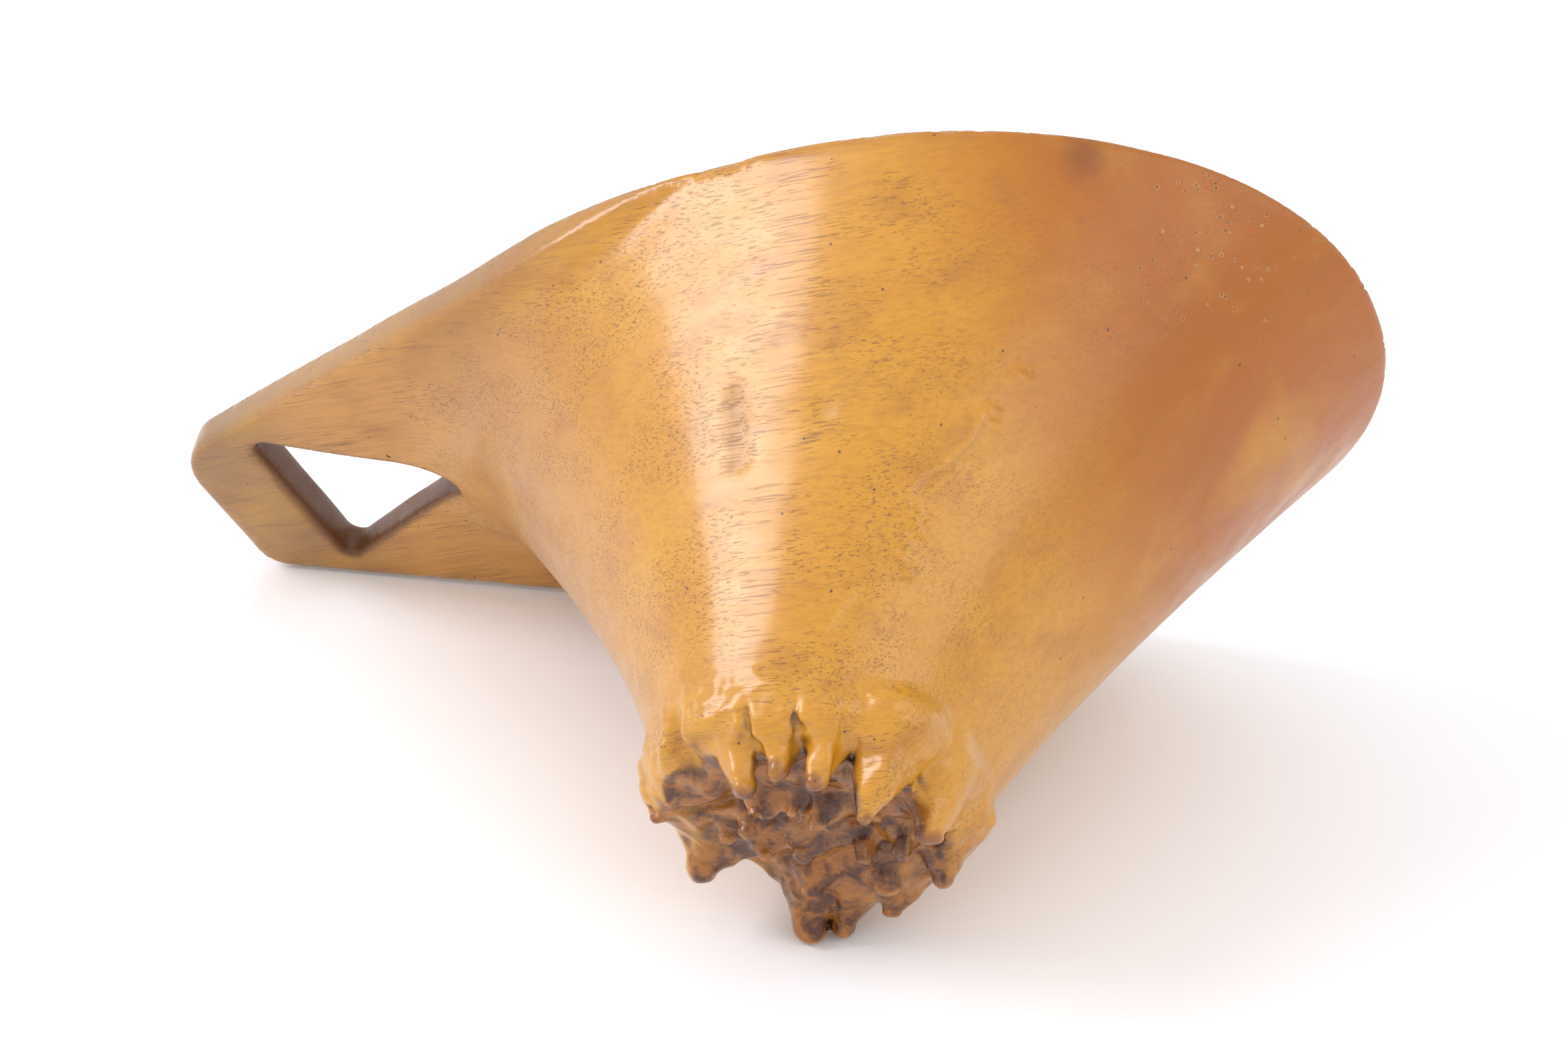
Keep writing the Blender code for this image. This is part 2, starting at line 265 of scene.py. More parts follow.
def body_field(points):
    """Distance to the bowl's outside; below the neck it goes straight down."""
    t = np.clip(1 + points[:, 2] / BODY_DEPTH, 0.0005, 1)
    slant = 0.80 + 0.08 * (1 - t)
    return oval_distance(points, body_axes(t), 1 - t, t) * slant


def hollow_field(points):
    """Distance to the hollow, negative inside it."""
    depth = np.clip(-points[:, 2], 0, FLOOR_DEPTH)
    t = 1 - depth / BODY_DEPTH
    past = np.clip((depth - FLOOR_DEPTH + FLOOR_ROUNDING) / FLOOR_ROUNDING, 0, 1)
    rounding = FLOOR_ROUNDING * (1 - np.sqrt(1 - past * past))
    heel = HANDLE_LENGTH - HOLE_BASE - HOLE_LENGTH - HEEL_WALL
    outer, below = body_axes(t), body_axes(np.maximum(t - 1 / BODY_DEPTH, 0.0005))
    inner = [a - WALL * np.hypot(1, a - b) - rounding for a, b in zip(outer, below)]
    inner[1] = smooth_min(inner[1], np.full(inner[1].shape, heel), 8.0)
    side = oval_distance(points, inner, 1 - t, t) * 0.8
    return np.maximum(side, -points[:, 2] - FLOOR_DEPTH)


def handle_field(points, edge):
    """Distance to the flat board that makes the handle and runs out along the rim."""
    away = np.degrees(np.abs(np.arctan2(points[:, 1], points[:, 0])))
    share = smooth_step(away, 100, 150)
    face = -points[:, 2] - HANDLE_THICKNESS * share
    return smooth_max(edge, face, 2.0), share


# --- The root crown ---------------------------------------------------------------------

# Its spikes and lobes: base, tip, and the radius at each
SPIKES = (
    ((-27.4, -9.0, -78), (-29.6, -7.6, -84.8), 4.2, 1.1),
    ((-24.0, -13.0, -77), (-26.6, -11.0, -84.0), 4.0, 1.0),
    ((-10.4, -20.8, -80), (-8.0, -21.6, -90.0), 4.4, 1.6),
    ((-3.4, -21.2, -80), (-2.6, -22.6, -87.8), 5.0, 1.9),
    ((3.8, -20.2, -80), (2.6, -21.0, -89.4), 4.5, 1.5),
    ((11.2, -16.2, -79), (8.4, -14.8, -92.4), 6.4, 1.4),
    ((12.2, -5.4, -79), (13.4, -4.6, -89.2), 6.4, 1.9),
    ((9.5, 9.0, -79), (8.6, 11.8, -86.0), 6.2, 1.8),
    ((-0.4, 15.6, -80), (-2.6, 20.4, -86.6), 6.4, 1.4),
    ((-6.8, 14.6, -81), (-10.4, 20.8, -87.2), 6.6, 2.4),
    ((-13.2, 13.0, -81), (-15.2, 18.8, -88.8), 6.6, 2.4),
    ((-23.2, 3.0, -80), (-26.2, 5.0, -85.4), 6.4, 3.1),
)
SKIN_SPIKES = 7                  # the first ones run out of the amber skin

# Nubs on the crown's face: place and size
NUBS = (
    ((-11.7, -11.0, -87.2), 2.2),
    ((-14.7, -5.3, -88.0), 1.6),
    ((-2.4, -7.6, -88.2), 2.9),
    ((-6.8, -9.6, -86.0), 1.8),
    ((-19.2, -3.0, -86.4), 2.4),
    ((-22.6, -6.8, -84.2), 3.0),
    ((-0.7, 4.5, -88.2), 1.5),
    ((-11.8, 10.2, -87.8), 2.6),
    ((-9.0, 2.4, -86.4), 3.6),
    ((0.2, 12.4, -86.8), 3.0),
    ((6.4, 2.6, -86.0), 3.2),
    ((-15.6, 3.0, -86.0), 2.8),
    ((-17.0, -12.6, -84.4), 2.6),
    ((5.0, -4.6, -86.4), 1.9),
)

# Grooves and pits between them: two ends and the radius at each
GROOVES = (
    ((-20.0, -24.4, -80), (-17.0, -15.0, -91), 1.6, 4.0),
    ((-5.6, -27.8, -81), (-5.4, -18.6, -90), 0.5, 1.6),
    ((0.4, -28.0, -79), (0.2, -18.6, -92), 0.4, 1.3),
    ((8.0, -26.4, -78), (4.4, -15.5, -93), 0.7, 2.0),
    ((18.4, -13.4, -78), (10.8, -8.2, -92), 0.7, 2.3),
    ((18.0, 3.4, -81), (10.0, 2.6, -92), 0.5, 1.6),
    ((7.6, 18.6, -82), (1.6, 12.6, -92), 0.5, 1.5),
    ((-21.0, 10.5, -85.5), (-24.5, 20.5, -93), 5.2, 5.4),
    ((-12.9, 20.5, -84.5), (-13.4, 25.0, -93), 1.4, 1.7),
    ((-26.6, -8.4, -82), (-33.0, -9.6, -87), 0.9, 1.2),
)


def round_cone(points, base, tip, base_radius, tip_radius):
    """Distance to a tapered rod with round ends."""
    base, tip = np.array(base, float), np.array(tip, float)
    along = tip - base
    t = np.clip((points - base) @ along / (along @ along), 0, 1)
    gap = points - base - t[:, None] * along
    return np.sqrt((gap * gap).sum(1)) - (base_radius + (tip_radius - base_radius) * t)


def pushed(points, size, reach):
    """The points pushed about by smooth noise, which makes plain shapes uneven."""
    return points + reach * np.stack([noise(points + shift, size) for shift in (11, 37, 71)], 1)


def crown_field(points, neck):
    """The root end: the neck's plug, with spikes, nubs and grooves."""
    uneven = pushed(pushed(points, 7.0, 1.2), 2.8, 0.55)
    cracks = np.clip(1 - 3.4 * np.abs(noise(uneven + 5, 7.5)), 0, 1)
    lumps = 0.9 * noise(points + 40, 6.0) + 1.5 * cracks
    core = smooth_max(neck + 0.2, -points[:, 2] - CROWN_FACE + lumps, 2.6)
    for place, size in NUBS:
        inner = (place[0] * 0.92, place[1] * 0.92, place[2] + 5)
        core = smooth_min(core, round_cone(uneven, inner, place, 1.7 * size, 0.5 * size), 1.8)
    spikes = np.full(len(points), 50.0)
    slightly = pushed(points, 4.0, 0.8)
    for base, tip, base_radius, tip_radius in SPIKES:
        spikes = smooth_min(spikes, round_cone(slightly, base, tip, base_radius, tip_radius), 0.8)
    for start, end, start_radius, end_radius in GROOVES:
        groove = -round_cone(slightly, start, end, start_radius, end_radius)
        core = smooth_max(core, groove, 1.8)
        spikes = smooth_max(spikes, groove, 1.2)
    whole = smooth_min(core, spikes, 2.2 + 2.6 * smooth_step(points[:, 2], -87, -79))
    return whole - 0.25 * noise(points, 1.9)


# --- Marks in the skin ------------------------------------------------------------------

# Raised runs of varnish: height, and a row of points
RUNS = (
    (0.44, ((25.2, -32.8, -39.0), (23.5, -31.9, -42.6), (21.5, -32.0, -44.7), (19.8, -31.9, -46.6),
            (17.5, -32.4, -48.2), (15.8, -32.2, -50.5))),
    (0.08, ((8.4, -29.5, -64.9), (6.8, -29.2, -67.4), (5.1, -28.8, -70.4))),
    (0.22, ((6.8, -27.0, -75.4), (8.1, -26.0, -77.0), (9.8, -24.4, -77.9), (11.5, -23.0, -79.0))),
    (0.16, ((11.5, -23.0, -79.0), (12.9, -21.0, -80.4), (14.2, -19.4, -81.4))),
)
RUN_WIDTH = 0.38

# Blistered patches of varnish: place and radius
BLISTERS = (
    ((15.9, -31.1, -52.6), 1.2),
    ((17.2, -29.6, -54.8), 1.5),
    ((14.8, -29.5, -56.9), 1.2),
    ((13.9, -29.1, -58.9), 1.0),
    ((15.2, -27.4, -60.5), 1.2),
    ((26.6, -32.0, -38.2), 1.6),
    ((31.2, -33.0, -31.6), 1.3),
)

# Old dents: two ends, radius and depth
DENTS = (
    ((-10.1, -41.4, -36.5), (-9.2, -38.2, -45.4), 2.2, 0.50),
    ((3.7, -40.1, -39.5), (3.8, -39.8, -40.3), 1.4, 0.30),
)

# All of them lie in this box, and are worked out only this near the surface
MARKED_LOW, MARKED_HIGH = (-16, -100, -100), (34, -16, -28)
MARKED_NEAR = 3


def row_distance(points, row):
    """Distance to a row of points joined by lines."""
    return np.min([round_cone(points, a, b, 0, 0) for a, b in zip(row[:-1], row[1:])], axis=0)


def run_distance(points):
    """Distance to the nearest run or blister of varnish."""
    runs = [row_distance(points, row) for _, row in RUNS]
    blisters = [np.linalg.norm(points - np.array(place), axis=1) - radius for place, radius in BLISTERS]
    return np.min(runs + blisters, axis=0)


def marks(points):
    """How far the skin stands up, or lies down, at its marks."""
    height = np.zeros(len(points))
    for rise, row in RUNS:
        height += rise * np.exp(-(row_distance(points, row) / RUN_WIDTH) ** 2)
    grit = np.clip(0.3 + noise(points, 0.9), 0, 1)
    for place, radius in BLISTERS:
        away = np.linalg.norm(points - np.array(place), axis=1)
        height += 0.55 * grit * np.exp(-(away / radius) ** 2)
    for start, end, radius, depth in DENTS:
        away = round_cone(points, start, end, 0, 0)
        height -= depth * np.exp(-(away / radius) ** 2)
    return height


# --- The whole carving ------------------------------------------------------------------

def scoop_field(points):
    """The whole carving: negative inside the wood."""
    edge = EDGE(points)
    body = body_field(points)
    board, share = handle_field(points, edge)
    wood = smooth_min(body, board, 0.3 + HANDLE_FILLET * share)
    wood = smooth_max(wood, edge, RIM_EDGE)
    wood = smooth_max(wood, points[:, 2], RIM_EDGE)
    wood = smooth_max(wood, -hollow_field(points), RIM_EDGE)
    wood = smooth_max(wood, -HOLE(points), HOLE_EDGE)
    for reach, size in SWELLS:
        wood = wood + reach * noise(points, size)
    low = points[:, 2] < -CROWN_BEGINS
    if low.any():
        near = points[low]
        fade = smooth_step(-near[:, 2], CROWN_BEGINS, CROWN_WHOLE)
        flat = smooth_max(wood[low], -near[:, 2] - NECK_CUT, 2.0)
        wood[low] = flat + (crown_field(near, body[low]) - flat) * fade
    marked = (points > MARKED_LOW).all(1) & (points < MARKED_HIGH).all(1) & (np.abs(wood) < MARKED_NEAR)
    if marked.any():
        wood[marked] -= marks(points[marked])
    return wood


# --- Meshing ----------------------------------------------------------------------------

def sample_field(low, count):
    """The field on a grid, worked out only in blocks that are near the surface."""
    blocks = (count - 1) // BLOCK + 1
    corners = np.stack(np.meshgrid(*(np.arange(n + 1) for n in blocks), indexing="ij"), -1)
    coarse = scoop_field(low + corners.reshape(-1, 3) * BLOCK * CELL).reshape(blocks + 1)
    near = np.zeros(tuple(blocks), bool)
    for i in (0, 1):
        for j in (0, 1):
            for k in (0, 1):
                part = coarse[i:i + blocks[0], j:j + blocks[1], k:k + blocks[2]]
                near |= np.abs(part) < NEAR
    values = np.where(coarse[:-1, :-1, :-1] < 0, -1.0, 1.0).astype(np.float32)
    for axis in range(3):
        values = np.repeat(values, BLOCK, axis=axis)
    inner = np.stack(np.meshgrid(*(np.arange(BLOCK),) * 3, indexing="ij"), -1).reshape(-1, 3)
    spots = (np.argwhere(near)[:, None] * BLOCK + inner[None]).reshape(-1, 3)
    values[tuple(spots.T)] = scoop_field(low + spots * CELL)
    return values


def surface_net(values, low):
    """Vertices and quads of the surface where a grid of values changes sign."""
    inside = values < 0
    shape = np.array(values.shape) - 1
    corners = [(i, j, k) for i in (0, 1) for j in (0, 1) for k in (0, 1)]

    def corner(array, c):
        return array[c[0]:c[0] + shape[0], c[1]:c[1] + shape[1], c[2]:c[2] + shape[2]]

    count = sum(corner(inside, c).astype(np.int8) for c in corners)
    active = (count > 0) & (count < 8)
    cells = np.argwhere(active)
    index = np.full(tuple(shape), -1, np.int64)
    index[active] = np.arange(len(cells))
    total = np.zeros((len(cells), 3))
    hits = np.zeros(len(cells))
    for a in corners:
        for axis in range(3):
            if a[axis]:
                continue
            b = list(a)
            b[axis] = 1
            va, vb = corner(values, a)[active], corner(values, tuple(b))[active]
            crosses = (va < 0) != (vb < 0)
            t = np.where(crosses, va / np.where(crosses, va - vb, 1), 0)
            place = np.tile(np.array(a, float), (len(cells), 1))
            place[:, axis] += t
            total += place * crosses[:, None]
            hits += crosses
    verts = low + (cells + total / hits[:, None]) * CELL
    quads = []
    for axis in range(3):
        u, v = (axis + 1) % 3, (axis + 2) % 3
        first = [slice(0, -1)] * 3
        second = [slice(0, -1)] * 3
        second[axis] = slice(1, None)
        here, there = inside[tuple(first)], inside[tuple(second)]
        spots = np.argwhere(here != there)
        spots = spots[(spots[:, u] > 0) & (spots[:, v] > 0)]
        flip = ~inside[tuple(spots.T)]
        ring = []
        for du, dv in ((0, 0), (1, 0), (1, 1), (0, 1)):
            near = spots.copy()
            near[:, u] -= du
            near[:, v] -= dv
            ring.append(index[tuple(near.T)])
        ring = np.stack(ring, 1)
        ring[flip] = ring[flip][:, ::-1]
        quads.append(ring)
    return verts, np.vstack(quads)


def slope_at(points):
    """The field and its slope."""
    h = 0.04
    value = scoop_field(points)
    slope = np.stack([(scoop_field(points + h * step) - value) / h for step in np.eye(3)], 1)
    return value, slope


def settle(verts):
    """Move points towards the surface, along the field's slope."""
    value, slope = slope_at(verts)
    size = np.maximum((slope * slope).sum(1), 0.04)
    move = -(value / size)[:, None] * slope
    length = np.linalg.norm(move, axis=1)
    return verts + move * np.minimum(1, LONGEST_MOVE / np.maximum(length, 1e-9))[:, None]


def relax(edges, verts, share):
    """Move each point some way to the middle of its neighbours."""
    total = np.zeros_like(verts)
    count = np.zeros(len(verts))
    for a, b in ((0, 1), (1, 0)):
        np.add.at(total, edges[:, a], verts[edges[:, b]])
        np.add.at(count, edges[:, a], 1)
    return verts + (total / count[:, None] - verts) * share


def edges_of(mesh):
    """The pair of vertices at each of a mesh's edges."""
    pairs = np.empty(len(mesh.edges) * 2, np.int32)
    mesh.edges.foreach_get("vertices", pairs)
    return pairs.reshape(-1, 2)


def get_points(mesh):
    """A mesh's vertices, in millimetres."""
    points = np.empty(len(mesh.vertices) * 3)
    mesh.vertices.foreach_get("co", points)
    return points.reshape(-1, 3) / MM


def set_points(mesh, points):
    """Put a mesh's vertices at these places, in millimetres."""
    mesh.vertices.foreach_set("co", (points * MM).ravel())
    mesh.update()


def divide(mesh, wanted):
    """Divide the edges that wanted picks, and put the new points on the surface."""
    bm = bmesh.new()
    bm.from_mesh(mesh)
    bm.normal_update()
    edges = [e for e in bm.edges if wanted(e)]
    bmesh.ops.subdivide_edges(bm, edges=edges, cuts=1, use_grid_fill=True)
    bm.to_mesh(mesh)
    bm.free()
    smooth_out(mesh, 0.3, 2)


def smooth_out(mesh, share, passes):
    """Even out a mesh's points, and put them back on the surface each time."""
    edges, points = edges_of(mesh), get_points(mesh)
    for _ in range(passes):
        points = settle(relax(edges, points, share))
    set_points(mesh, settle(points))


def is_crown_edge(edge):
    """True for an edge on the root crown that is still long."""
    a, b = (v.co for v in edge.verts)
    return min(a.z, b.z) < -75 * MM and (a - b).length > LEAST_EDGE * MM


def is_sharp_edge(edge):
    """True for an edge on a worn corner of the rim, the hole or the handle."""
    a, b = (v.co for v in edge.verts)
    return max(a.z, b.z) > -SHARP_DEPTH * MM and edge.calc_face_angle(0) > SHARP_ANGLE


def divide_marks(mesh):
    """Divide the mesh round the runs and blisters of varnish."""
    near = run_distance(get_points(mesh)) < MARK_REACH
    divide(mesh, lambda e: near[e.verts[0].index] and near[e.verts[1].index])


def carve():
    """The carving's mesh, in its own axes."""
    low = np.array((-HANDLE_LENGTH - MARGIN, -MOUTH_HALF_WIDTH - MARGIN, -DEEPEST))
    high = np.array((MOUTH_TIP + MARGIN, MOUTH_HALF_WIDTH + MARGIN, MARGIN))
    values = sample_field(low, np.ceil((high - low) / CELL).astype(int) + 1)
    verts, faces = surface_net(values, low)
    mesh = bpy.data.meshes.new("carved_scoop")
    mesh.from_pydata((verts * MM).tolist(), [], faces.tolist())
    smooth_out(mesh, 0.5, 8)
    for _ in range(2):
        divide(mesh, lambda e: is_crown_edge(e) or is_sharp_edge(e))
    for _ in range(2):
        divide_marks(mesh)
    return mesh


def add_layer(mesh, name, values):
    """Store one number for each vertex, for the material to read."""
    layer = mesh.attributes.new(name, "FLOAT", "POINT")
    layer.data.foreach_set("value", np.asarray(values, np.float32))


def mark_wear_and_shading(mesh):
    """Store where the surface is hollow or raised, raw root, worn, marked or darker at its edges; the
    hollows and the finger hole are for painted shade, the raised places for painted highlights, and the
    crown's underside for painted shade over the root's brown.
    """
    points = get_points(mesh)
    _, slope = slope_at(points)
    normal = slope / np.maximum(np.linalg.norm(slope, axis=1), 1e-6)[:, None]
    # How deeply each point lies in a hollow; the material paints shade there from it.
    hollow_shade = sum(np.clip(1 - scoop_field(points + normal * d) / d, 0, 2) for d in (0.8, 1.8, 3.2)) / 3
    # How sharply each point stands out in a crest or tip; the material paints highlights there from it.
    ridge_highlight = sum(np.clip(1 + scoop_field(points - normal * d) / d, 0, 1) for d in (0.9, 1.8)) / 2
    add_layer(mesh, "hollow_shade", hollow_shade)
    add_layer(mesh, "ridge_highlight", ridge_highlight)
    radial = points[:, :2] - NECK_SHIFT
    reach = np.linalg.norm(radial, axis=1)
    outward = (radial * normal[:, :2]).sum(1) / np.maximum(reach, 1e-6)
    skin = smooth_step(outward + 0.30 * noise(points, 4.0), -0.10, 0.50)
    skin = skin * smooth_step(body_field(points) + 0.8 * noise(points, 3.0), -6.4, -3.6)
    # The crown's underside, towards the floor, takes the root's dark brown even under the skin: partly
    # root, partly painted shade.
    under = smooth_step(points[:, 1], 2, 14) * smooth_step(-points[:, 2], 79, 84)
    root = smooth_step(-points[:, 2] + 1.2 * noise(points + 9, 5.0), 79, 83.5)
    add_layer(mesh, "root", root * np.maximum(1 - skin, 0.8 * under))
    tips = np.zeros(len(points))
    for _, tip, _, radius in SPIKES[:SKIN_SPIKES]:
        away = np.linalg.norm(points - np.array(tip) - (0, 0, -0.5 * radius), axis=1) - radius
        tips = np.maximum(tips, 1 - smooth_step(away, -0.5, 0.6))
    add_layer(mesh, "tips", tips)
    add_layer(mesh, "edge", 1 - smooth_step(-EDGE(points), 0.2, 1.6))
    add_layer(mesh, "hole", 1 - smooth_step(HOLE(points), 0.3, 1.7))
    rows = np.min([row_distance(points, row) for _, row in RUNS], axis=0)
    add_layer(mesh, "runs", 1 - smooth_step(rows, 0.2, 0.8))
    dents = [round_cone(points, start, end, radius, radius) for start, end, radius, _ in DENTS]
    dents = np.min(dents, axis=0)
    add_layer(mesh, "dents", 1 - smooth_step(dents + 1.3 * noise(points, 2.2), -2.2, 1.2))


def lying_frame():
    """How the carving lies: its own axes, turned and placed by the mount on the handle."""
    mount = frame["record"]["mounts"][0]
    normal = Vector(mount["axis"]).normalized()
    table_line = Vector((1, 0, 0))
    across = table_line.cross(normal)
    x_axis = table_line * math.cos(TAPER) + across * math.sin(TAPER)
    y_axis = normal.cross(x_axis)
    origin = Vector(mount["pos_m"]) + x_axis * MOUNT_TO_WIDEST * MM
    turn = Matrix((x_axis, y_axis, normal)).transposed().to_4x4()
    return Matrix.Translation(origin) @ turn


def make_carving():
    """The scoop as one object, laid as the frame has it."""
    mesh = carve()
    mark_wear_and_shading(mesh)
    mesh.shade_smooth()
    mesh.transform(lying_frame())
    set_points(mesh, np.clip(get_points(mesh), np.array(CAD_BOX[0]) / MM, np.array(CAD_BOX[1]) / MM))
    obj = bpy.data.objects.new("carved_scoop", mesh)
    bpy.context.scene.collection.objects.link(obj)
    return obj


# --- Material ---------------------------------------------------------------------------

# Places on the skin, in metres, in the scoop's own axes
BUBBLES_AT = (0.0565, -0.0280, -0.0080)
SMUDGE_AT = (0.0405, -0.0445, -0.0030)

# Colours: linear red, green and blue
AMBER, PALE_AMBER, DARK_AMBER = (0.56, 0.250, 0.014), (0.62, 0.32, 0.025), (0.34, 0.115, 0.012)
ORANGE = (0.375, 0.100, 0.003)
# The last tan is darker: partly the handle's own tan, partly painted shade at its end.
TAN, PALE_TAN, DARK_TAN_AND_SHADE = (0.40, 0.175, 0.030), (0.55, 0.255, 0.045), (0.27, 0.125, 0.020)
STREAK, PORE, SPECK = (0.33, 0.12, 0.012), (0.16, 0.060, 0.018), (0.05, 0.028, 0.02)
# The first is pale, a painted glint on the rings of burst bubbles; the second darkens their pits.
BUBBLE_RING_GLINT, BUBBLE_PIT = (0.62, 0.36, 0.18), (0.20, 0.06, 0.015)
# Darker colours along the rim's edge and the handle's edges.
DARKER_RIM_EDGE, DARKER_HANDLE_EDGE = (0.34, 0.125, 0.010), (0.23, 0.125, 0.050)
# The smudge and dent colours are the wood's own marks; the last, for the runs of varnish, is pale as a
# painted glint.
SMUDGE, DENT, RUN_GLINT = (0.13, 0.035, 0.012), (0.30, 0.165, 0.085), (0.80, 0.52, 0.20)
# Painted shade inside the finger hole.
HOLE_SHADE = (0.105, 0.036, 0.014)
# The third is lighter, a painted highlight for the root's ridges and nubs.
ROOT_DARK, ROOT_BROWN, PAINTED_RIDGE_HIGHLIGHT = (0.075, 0.020, 0.006), (0.35, 0.125, 0.018), (0.46, 0.18, 0.030)
# The first is painted shade, nearly black, for the hollows; the second is the spikes' own reddish tips.
PAINTED_CREVICE_SHADE, SPIKE_TIP = (0.036, 0.011, 0.006), (0.17, 0.040, 0.010)


class Nodes:
    """A short way to write a node tree."""

    def __init__(self, material):
        material.use_nodes = True
        self.tree = material.node_tree
        self.shader = self.tree.nodes["Principled BSDF"]

    def set(self, socket, value):
        """Link a socket from another, or give it a plain value."""
        if isinstance(value, bpy.types.NodeSocket):
            self.tree.links.new(value, socket)
        elif isinstance(value, (tuple, list)) and socket.type == "RGBA" and len(value) == 3:
            socket.default_value = (*value, 1)
        else:
            socket.default_value = value

    def node(self, kind, inputs=(), **settings):
        """Add a node of this kind, with these inputs and settings."""
        made = self.tree.nodes.new("ShaderNode" + kind)
        for name, value in settings.items():
            setattr(made, name, value)
        for name, value in dict(inputs).items():
            self.set(made.inputs[name], value)
        return made

    def math(self, operation, a, b, clamp=False):
        """A sum, difference or product of two values."""
        return self.node("Math", {0: a, 1: b}, operation=operation, use_clamp=clamp).outputs[0]

    def ramp(self, value, low, high, out_low=0.0, out_high=1.0):
        """Map low..high smoothly onto out_low..out_high."""
        inputs = {"Value": value, "From Min": low, "From Max": high, "To Min": out_low, "To Max": out_high}
        return self.node("MapRange", inputs, interpolation_type="SMOOTHSTEP").outputs["Result"]

    def mix(self, share, a, b):
        """Colour a where share is 0, and colour b where it's 1."""
        made = self.node("Mix", data_type="RGBA", clamp_factor=True)
        self.set(made.inputs[0], share)
        self.set(made.inputs[6], a)
        self.set(made.inputs[7], b)
        return made.outputs[2]

    def scaled(self, place, sizes, shift):
        """Coordinates whose unit is these sizes, in millimetres."""
        scale = tuple(1 / (MM * s) for s in sizes)
        return self.node("Mapping", {"Vector": place, "Scale": scale, "Location": shift}).outputs[0]

    def noise(self, place, sizes, shift=(0, 0, 0), detail=3.0, roughness=0.5, distortion=0.0):
        """Noise between 0 and 1, with lumps of these sizes, in millimetres."""
        inputs = {
            "Vector": self.scaled(place, sizes, shift), "Scale": 1.0, "Detail": detail,
            "Roughness": roughness, "Distortion": distortion,
        }
        return self.node("TexNoise", inputs).outputs["Fac"]

    def cells(self, place, size, shift):
        """Distance to the nearest of some scattered points, in cells of this size."""
        inputs = {"Vector": self.scaled(place, (size,) * 3, shift), "Scale": 1.0}
        return self.node("TexVoronoi", inputs).outputs["Distance"]

    def distance(self, place, spot):
        """Distance to a spot, in metres."""
        return self.node("VectorMath", {0: place, 1: spot}, operation="DISTANCE").outputs["Value"]

    def times(self, a, b):
        """The product of two values."""
        return self.math("MULTIPLY", a, b)

    def layer(self, name):
        """A number stored on the mesh."""
        return self.node("Attribute", attribute_name=name).outputs["Fac"]


def own_axes(n):
    """The scoop's own axes, from the place in the frame."""
    back = lying_frame().inverted()
    place = n.node("TexCoord").outputs["Object"]
    turned = n.node("Mapping", {
        "Vector": place, "Location": back.to_translation(), "Rotation": back.to_euler("XYZ"),
    })
    return turned.outputs[0]


